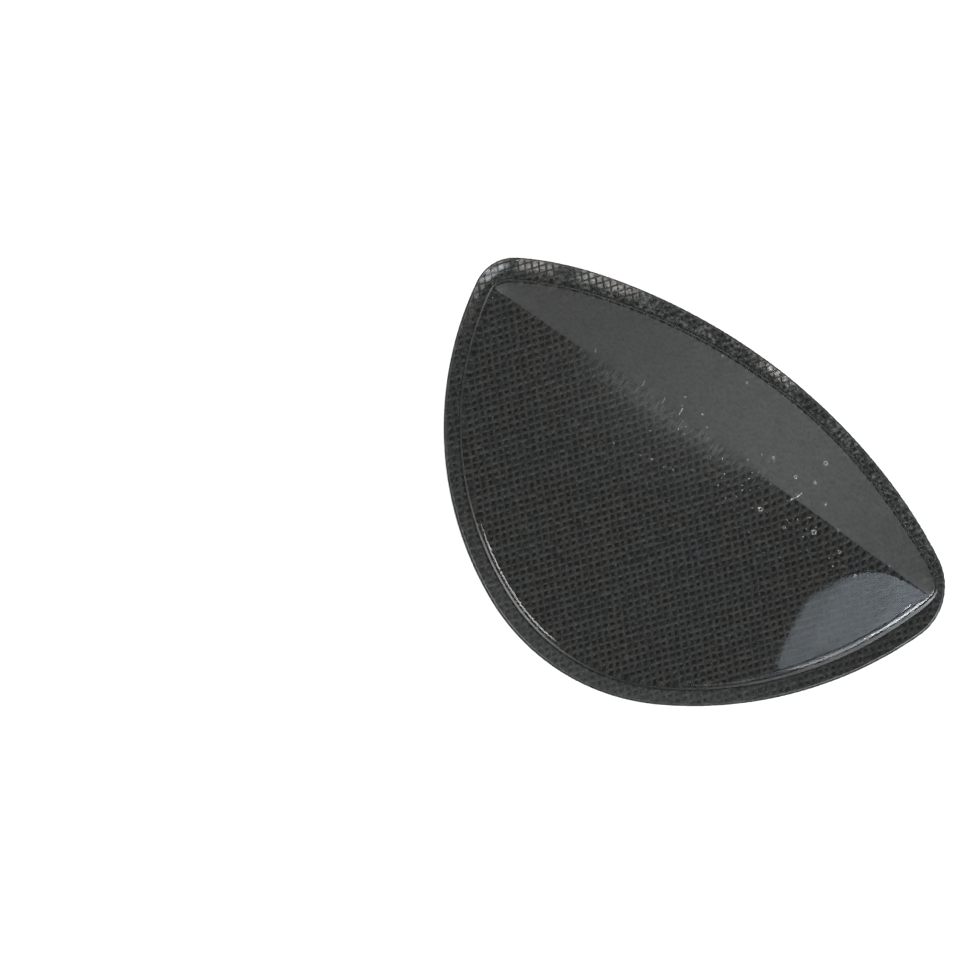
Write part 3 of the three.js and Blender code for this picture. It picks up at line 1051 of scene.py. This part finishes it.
cells = add(tree, "ShaderNodeMapRange", {
    "Value": grooves.outputs[0], "From Min": -0.6, "From Max": 0.0, "To Min": 0.0, "To Max": SILVER})
blotches = add(tree, "ShaderNodeTexNoise", {"Vector": here, "Scale": per_metre(BLOTCH), "Detail": 1.0})
patchy = add(tree, "ShaderNodeMapRange", {
    "Value": blotches.outputs["Fac"], "From Min": 0.3, "From Max": 0.6, "To Min": 0.25, "To Max": 1.0})
loose = add(tree, "ShaderNodeMath", {0: patchy.outputs["Result"], 1: silver}, operation="MULTIPLY")
shining = add(tree, "ShaderNodeMath", {
    0: cells.outputs["Result"], 1: loose.outputs[0]}, operation="MULTIPLY")
flecks = add(tree, "ShaderNodeMapRange", {
    "Value": blotches.outputs["Fac"], "From Min": 0.5, "From Max": 0.75, "To Min": 0.0, "To Max": FLECKS})
shining = add(tree, "ShaderNodeMath", {
    0: flecks.outputs["Result"], 1: rim, 2: shining.outputs[0]}, operation="MULTIPLY_ADD")
print("blotches in mm:", round(BLOTCH / MM, 2))

# %% [markdown]
# The long slope came off polished metal and is glossy. The short slope came off a matt face and is satin,
# so it blurs the weave. Along the middle of the crest fine rub marks run across it. They are a noise that
# is stretched one way, and they add to the roughness here and to the haze below.

# %% Gel: satin skin and rub marks
GLOSS, SATIN = 0.06, 0.5
RUB_WIDTH, RUB_LENGTH = 0.17 * MM, 2.2 * MM  # real ones are hairlines, which would not show

stretched = add(tree, "ShaderNodeMapping", {
    "Vector": here, "Rotation": (0.0, 0.0, -GEL_TURN),
    "Scale": (per_metre(RUB_WIDTH), per_metre(RUB_LENGTH), 0.0)})
rubs = add(tree, "ShaderNodeTexNoise", {"Vector": stretched.outputs["Vector"], "Scale": 1.0, "Detail": 2.0})
strokes = add(tree, "ShaderNodeMapRange", {
    "Value": rubs.outputs["Fac"], "From Min": 0.48, "From Max": 0.75, "To Min": -0.1, "To Max": 1.3})
rubbed = add(tree, "ShaderNodeMath", {0: strokes.outputs["Result"], 1: scuff}, operation="MULTIPLY")
satin = add(tree, "ShaderNodeMath", {0: frost, 1: rubbed.outputs[0]}, use_clamp=True)
rough = add(tree, "ShaderNodeMapRange", {"Value": satin.outputs[0], "To Min": GLOSS, "To Max": SATIN})
print("roughness from and to:", GLOSS, SATIN)

# %% [markdown]
# A satin skin also looks milky, because its fine pits send a little light straight back. Roughness alone
# doesn't give that, so a small share of the light is scattered and the rest goes through. The milk is
# mottled and faintly green, and warmer where the rim is loose.

# %% Gel: haze and shader
GEL_IOR = 1.47  # mineral oil in a styrene elastomer
HAZE = 0.021  # share of light that a satin skin scatters
MOTTLE = 0.55 * MM  # real pits are finer, but would not show

mottles = add(tree, "ShaderNodeTexNoise", {"Vector": here, "Scale": per_metre(MOTTLE), "Detail": 2.0})
mottled = add(tree, "ShaderNodeMapRange", {
    "Value": mottles.outputs["Fac"], "From Min": 0.3, "From Max": 0.7, "To Min": 0.7, "To Max": 1.1})
tint = add(tree, "ShaderNodeMix", {
    "Factor": silver, "A": linear("#f2fbf5"), "B": linear("#fbf8f2")}, data_type="RGBA")
milk = add(tree, "ShaderNodeVectorMath", {
    0: tint.outputs["Result"], "Scale": mottled.outputs["Result"]}, operation="SCALE")
cloud = add(tree, "ShaderNodeMath", {0: haze, 1: rubbed.outputs[0]})
cloud = add(tree, "ShaderNodeMath", {0: cloud.outputs[0], 1: 0.0}, operation="MAXIMUM")
clear = add(tree, "ShaderNodeMapRange", {
    "Value": cloud.outputs[0], "To Min": 1.0, "To Max": 1 - HAZE}, clamp=False)
clear = add(tree, "ShaderNodeMath", {
    0: clear.outputs["Result"], 1: shining.outputs[0]}, operation="SUBTRACT")
face = add(tree, "ShaderNodeBsdfPrincipled", {
    "Base Color": milk.outputs[0], "Roughness": rough.outputs["Result"],
    "Normal": pillows.outputs["Normal"], "IOR": GEL_IOR, "Transmission Weight": clear.outputs[0]})
add(tree, "ShaderNodeOutputMaterial", {"Surface": face.outputs["BSDF"]})
print("gel nodes:", len(tree.nodes))

# %% [markdown]
# ### Air in gel
# A bubble is only a skin of gel round air. It is drawn as clear, very smooth gel, so that its round rim
# mirrors the bright surroundings as a ring.

# %% Air in gel
tree = new_material(air, "air_bubble_skin")
face = add(tree, "ShaderNodeBsdfPrincipled", {
    "Base Color": linear("#ffffff"), "Roughness": GLOSS, "IOR": GEL_IOR, "Transmission Weight": 0.96})
add(tree, "ShaderNodeOutputMaterial", {"Surface": face.outputs["BSDF"]})
print("air nodes:", len(tree.nodes))

# %% [markdown]
# ## Ties to the part
# Each new piece moves with the part's one body and stands for the CAD solid in its place. The cover and
# the mesh are sheets, cut flat to the outline, and the gel is a full pad. Light passes through clear gel
# to the mesh, so the gel and its bubbles cast no shadow.

# %% Tie the pieces to the part
PIECES = [(cover, "velour_cover", "velour"), (net, "mesh_backing", "mesh"), (gel, "gel_pad", "gel")]
for piece, node, slot in PIECES:
    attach(piece, "root")
    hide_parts(node)
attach(air, "root")
gel.visible_shadow = False
air.visible_shadow = False

# %% [markdown]
# ## Floor
# The pad lies on white paper, which fills the picture. A plane is enough. It has no mirror image in the
# gel, so that only the lamps draw shapes there.

# %% Floor
GROUND_SIZE = 4.0
GROUND_LEVEL = -0.02 * MM  # a hair below the velour, so that the two faces don't meet

bpy.ops.object.select_all(action="DESELECT")
bpy.ops.mesh.primitive_plane_add(size=GROUND_SIZE, location=(0, 0, GROUND_LEVEL))
ground = name_new("ground")
tree = new_material(ground, "white_paper_ground")
face = add(tree, "ShaderNodeBsdfPrincipled", {"Base Color": linear("#f4f4f3"), "Roughness": 0.9})
add(tree, "ShaderNodeOutputMaterial", {"Surface": face.outputs["BSDF"]})
ground.visible_glossy = False
print("ground at mm:", round(ground.location.z / MM, 3))

# %% [markdown]
# ## Lamps round the pad
# The bright shapes on clear gel are mirror images of the studio, so each lamp stands where its shape needs
# it. Three strips at the lower right of the picture draw the white line along the wedge's edge. A softbox
# at the lower left draws the thin lines there, a strip at the upper left lights the narrow tip, and a pale
# wall fills the satin slope. Two fills light the paper and have no mirror image. One lamp would be simpler,
# but could not draw them all.

# %% Lamps round the pad
PHOTO_TURN = math.radians(37.0)  # the pad's length points this far below the picture's right
COOL, COOLISH, PLAIN = "#e2f1ff", "#f4f9ff", "#ffffff"
# phi runs clockwise from the picture's right and polar from straight up, both in degrees
Box = namedtuple("Box", "name phi polar distance wide tall glow tint mirrored")
SOFTBOXES = [
    Box("strip_right", 39, 68, 0.8, 0.44, 0.40, 16.0, COOLISH, True),
    Box("strip_lower_right", 62, 68, 0.8, 0.17, 0.40, 6.5, COOLISH, True),
    Box("strip_below", 78, 68, 0.8, 0.25, 0.40, 1.1, COOLISH, True),
    Box("softbox_lower_left", 144, 59, 0.8, 0.39, 0.50, 9.0, PLAIN, True),
    Box("strip_upper_left", -137, 56, 0.8, 0.26, 0.40, 12.0, PLAIN, True),
    Box("pale_wall", -55, 68, 0.9, 1.3, 0.5, 0.6, PLAIN, True),
    Box("fill_upper_right", -60, 45, 0.9, 0.9, 0.7, 2.8, PLAIN, False),
    Box("fill_upper_left", -120, 45, 0.9, 0.9, 0.7, 1.0, PLAIN, False),
]


def add_light(name, place, turn, wide, tall, glow, tint):
    """An area light whose face is as bright as glow says, whatever its size."""
    bpy.ops.object.light_add(type="AREA", location=place, rotation=turn)
    light = bpy.context.object
    light.name = name
    light.data.shape, light.data.size, light.data.size_y = "RECTANGLE", wide, tall
    light.data.energy = glow * math.pi * wide * tall
    light.data.color = linear(tint)[:3]
    print(name, "watts:", round(light.data.energy, 2))
    return light


for box in SOFTBOXES:
    turn, fall = PHOTO_TURN - math.radians(box.phi), math.radians(box.polar)
    way = Vector((math.sin(fall) * math.cos(turn), math.sin(fall) * math.sin(turn), math.cos(fall)))
    facing = way.to_track_quat("Z", "Y").to_euler()
    light = add_light(box.name, way * box.distance, facing, box.wide, box.tall, box.glow, box.tint)
    light.visible_glossy = light.visible_transmission = box.mirrored

# %% [markdown]
# ## A level softbox
# The pale field on the long slope, by the rounder tip, is the mirror image of a large softbox that hangs
# level and cool to the lower right. It gets brighter to the right, so it is three strips side by side. A
# gradient on one lamp would do too, but strips need no nodes.

# %% A level softbox
Level = namedtuple("Level", "name left right glow")
LEVEL_HEIGHT = 0.7
LEVEL_NEAR, LEVEL_FAR = 0.42, 0.72
LEVEL_SOFTBOX = [
    Level("softbox_below_left", 0.194, 0.25, 2.3),
    Level("softbox_below_middle", 0.25, 0.36, 2.8),
    Level("softbox_below_right", 0.36, 0.64, 3.4),
]
for strip in LEVEL_SOFTBOX:
    plan = ((strip.left + strip.right) / 2 - 1j * (LEVEL_NEAR + LEVEL_FAR) / 2) * np.exp(1j * PHOTO_TURN)
    place, turn = (plan.real, plan.imag, LEVEL_HEIGHT), (0.0, 0.0, PHOTO_TURN)
    wide, deep = strip.right - strip.left, LEVEL_FAR - LEVEL_NEAR
    add_light(strip.name, place, turn, wide, deep, strip.glow, COOL)

# %% [markdown]
# ## World
# An even, dim world is the rest of the studio. The Standard view transform keeps the paper white and the
# gel as dark as it is. Light focused by the gel would only add noise, so it is switched off.

# %% World
WORLD_GLOW = 0.235

world = bpy.data.worlds.new("studio")
bpy.context.scene.world = world
world.use_nodes = True
world.node_tree.nodes["Background"].inputs["Color"].default_value = linear("#ffffff")
world.node_tree.nodes["Background"].inputs["Strength"].default_value = WORLD_GLOW
bpy.context.scene.view_settings.view_transform = "Standard"
bpy.context.scene.cycles.caustics_refractive = False
print("world strength:", WORLD_GLOW)

# %% [markdown]
# ## Camera
# The photo looks straight down on the pad. A long lens keeps the sides of the wedge from leaning, and the
# camera's height follows from how much the picture is to cover.

# %% Camera
PICTURE_WIDE = 143.15 * MM  # what the picture covers at the pad
PICTURE_CENTRE = (-24.19 * MM, -12.15 * MM)
LENS = 200.0

bpy.ops.object.camera_add(rotation=(0, 0, PHOTO_TURN))
camera = bpy.context.object
camera.data.lens = LENS
camera.location = (*PICTURE_CENTRE, COVER_THICK + PICTURE_WIDE * LENS / camera.data.sensor_width)
bpy.context.scene.camera = camera
print("camera height in m:", round(camera.location.z, 3))
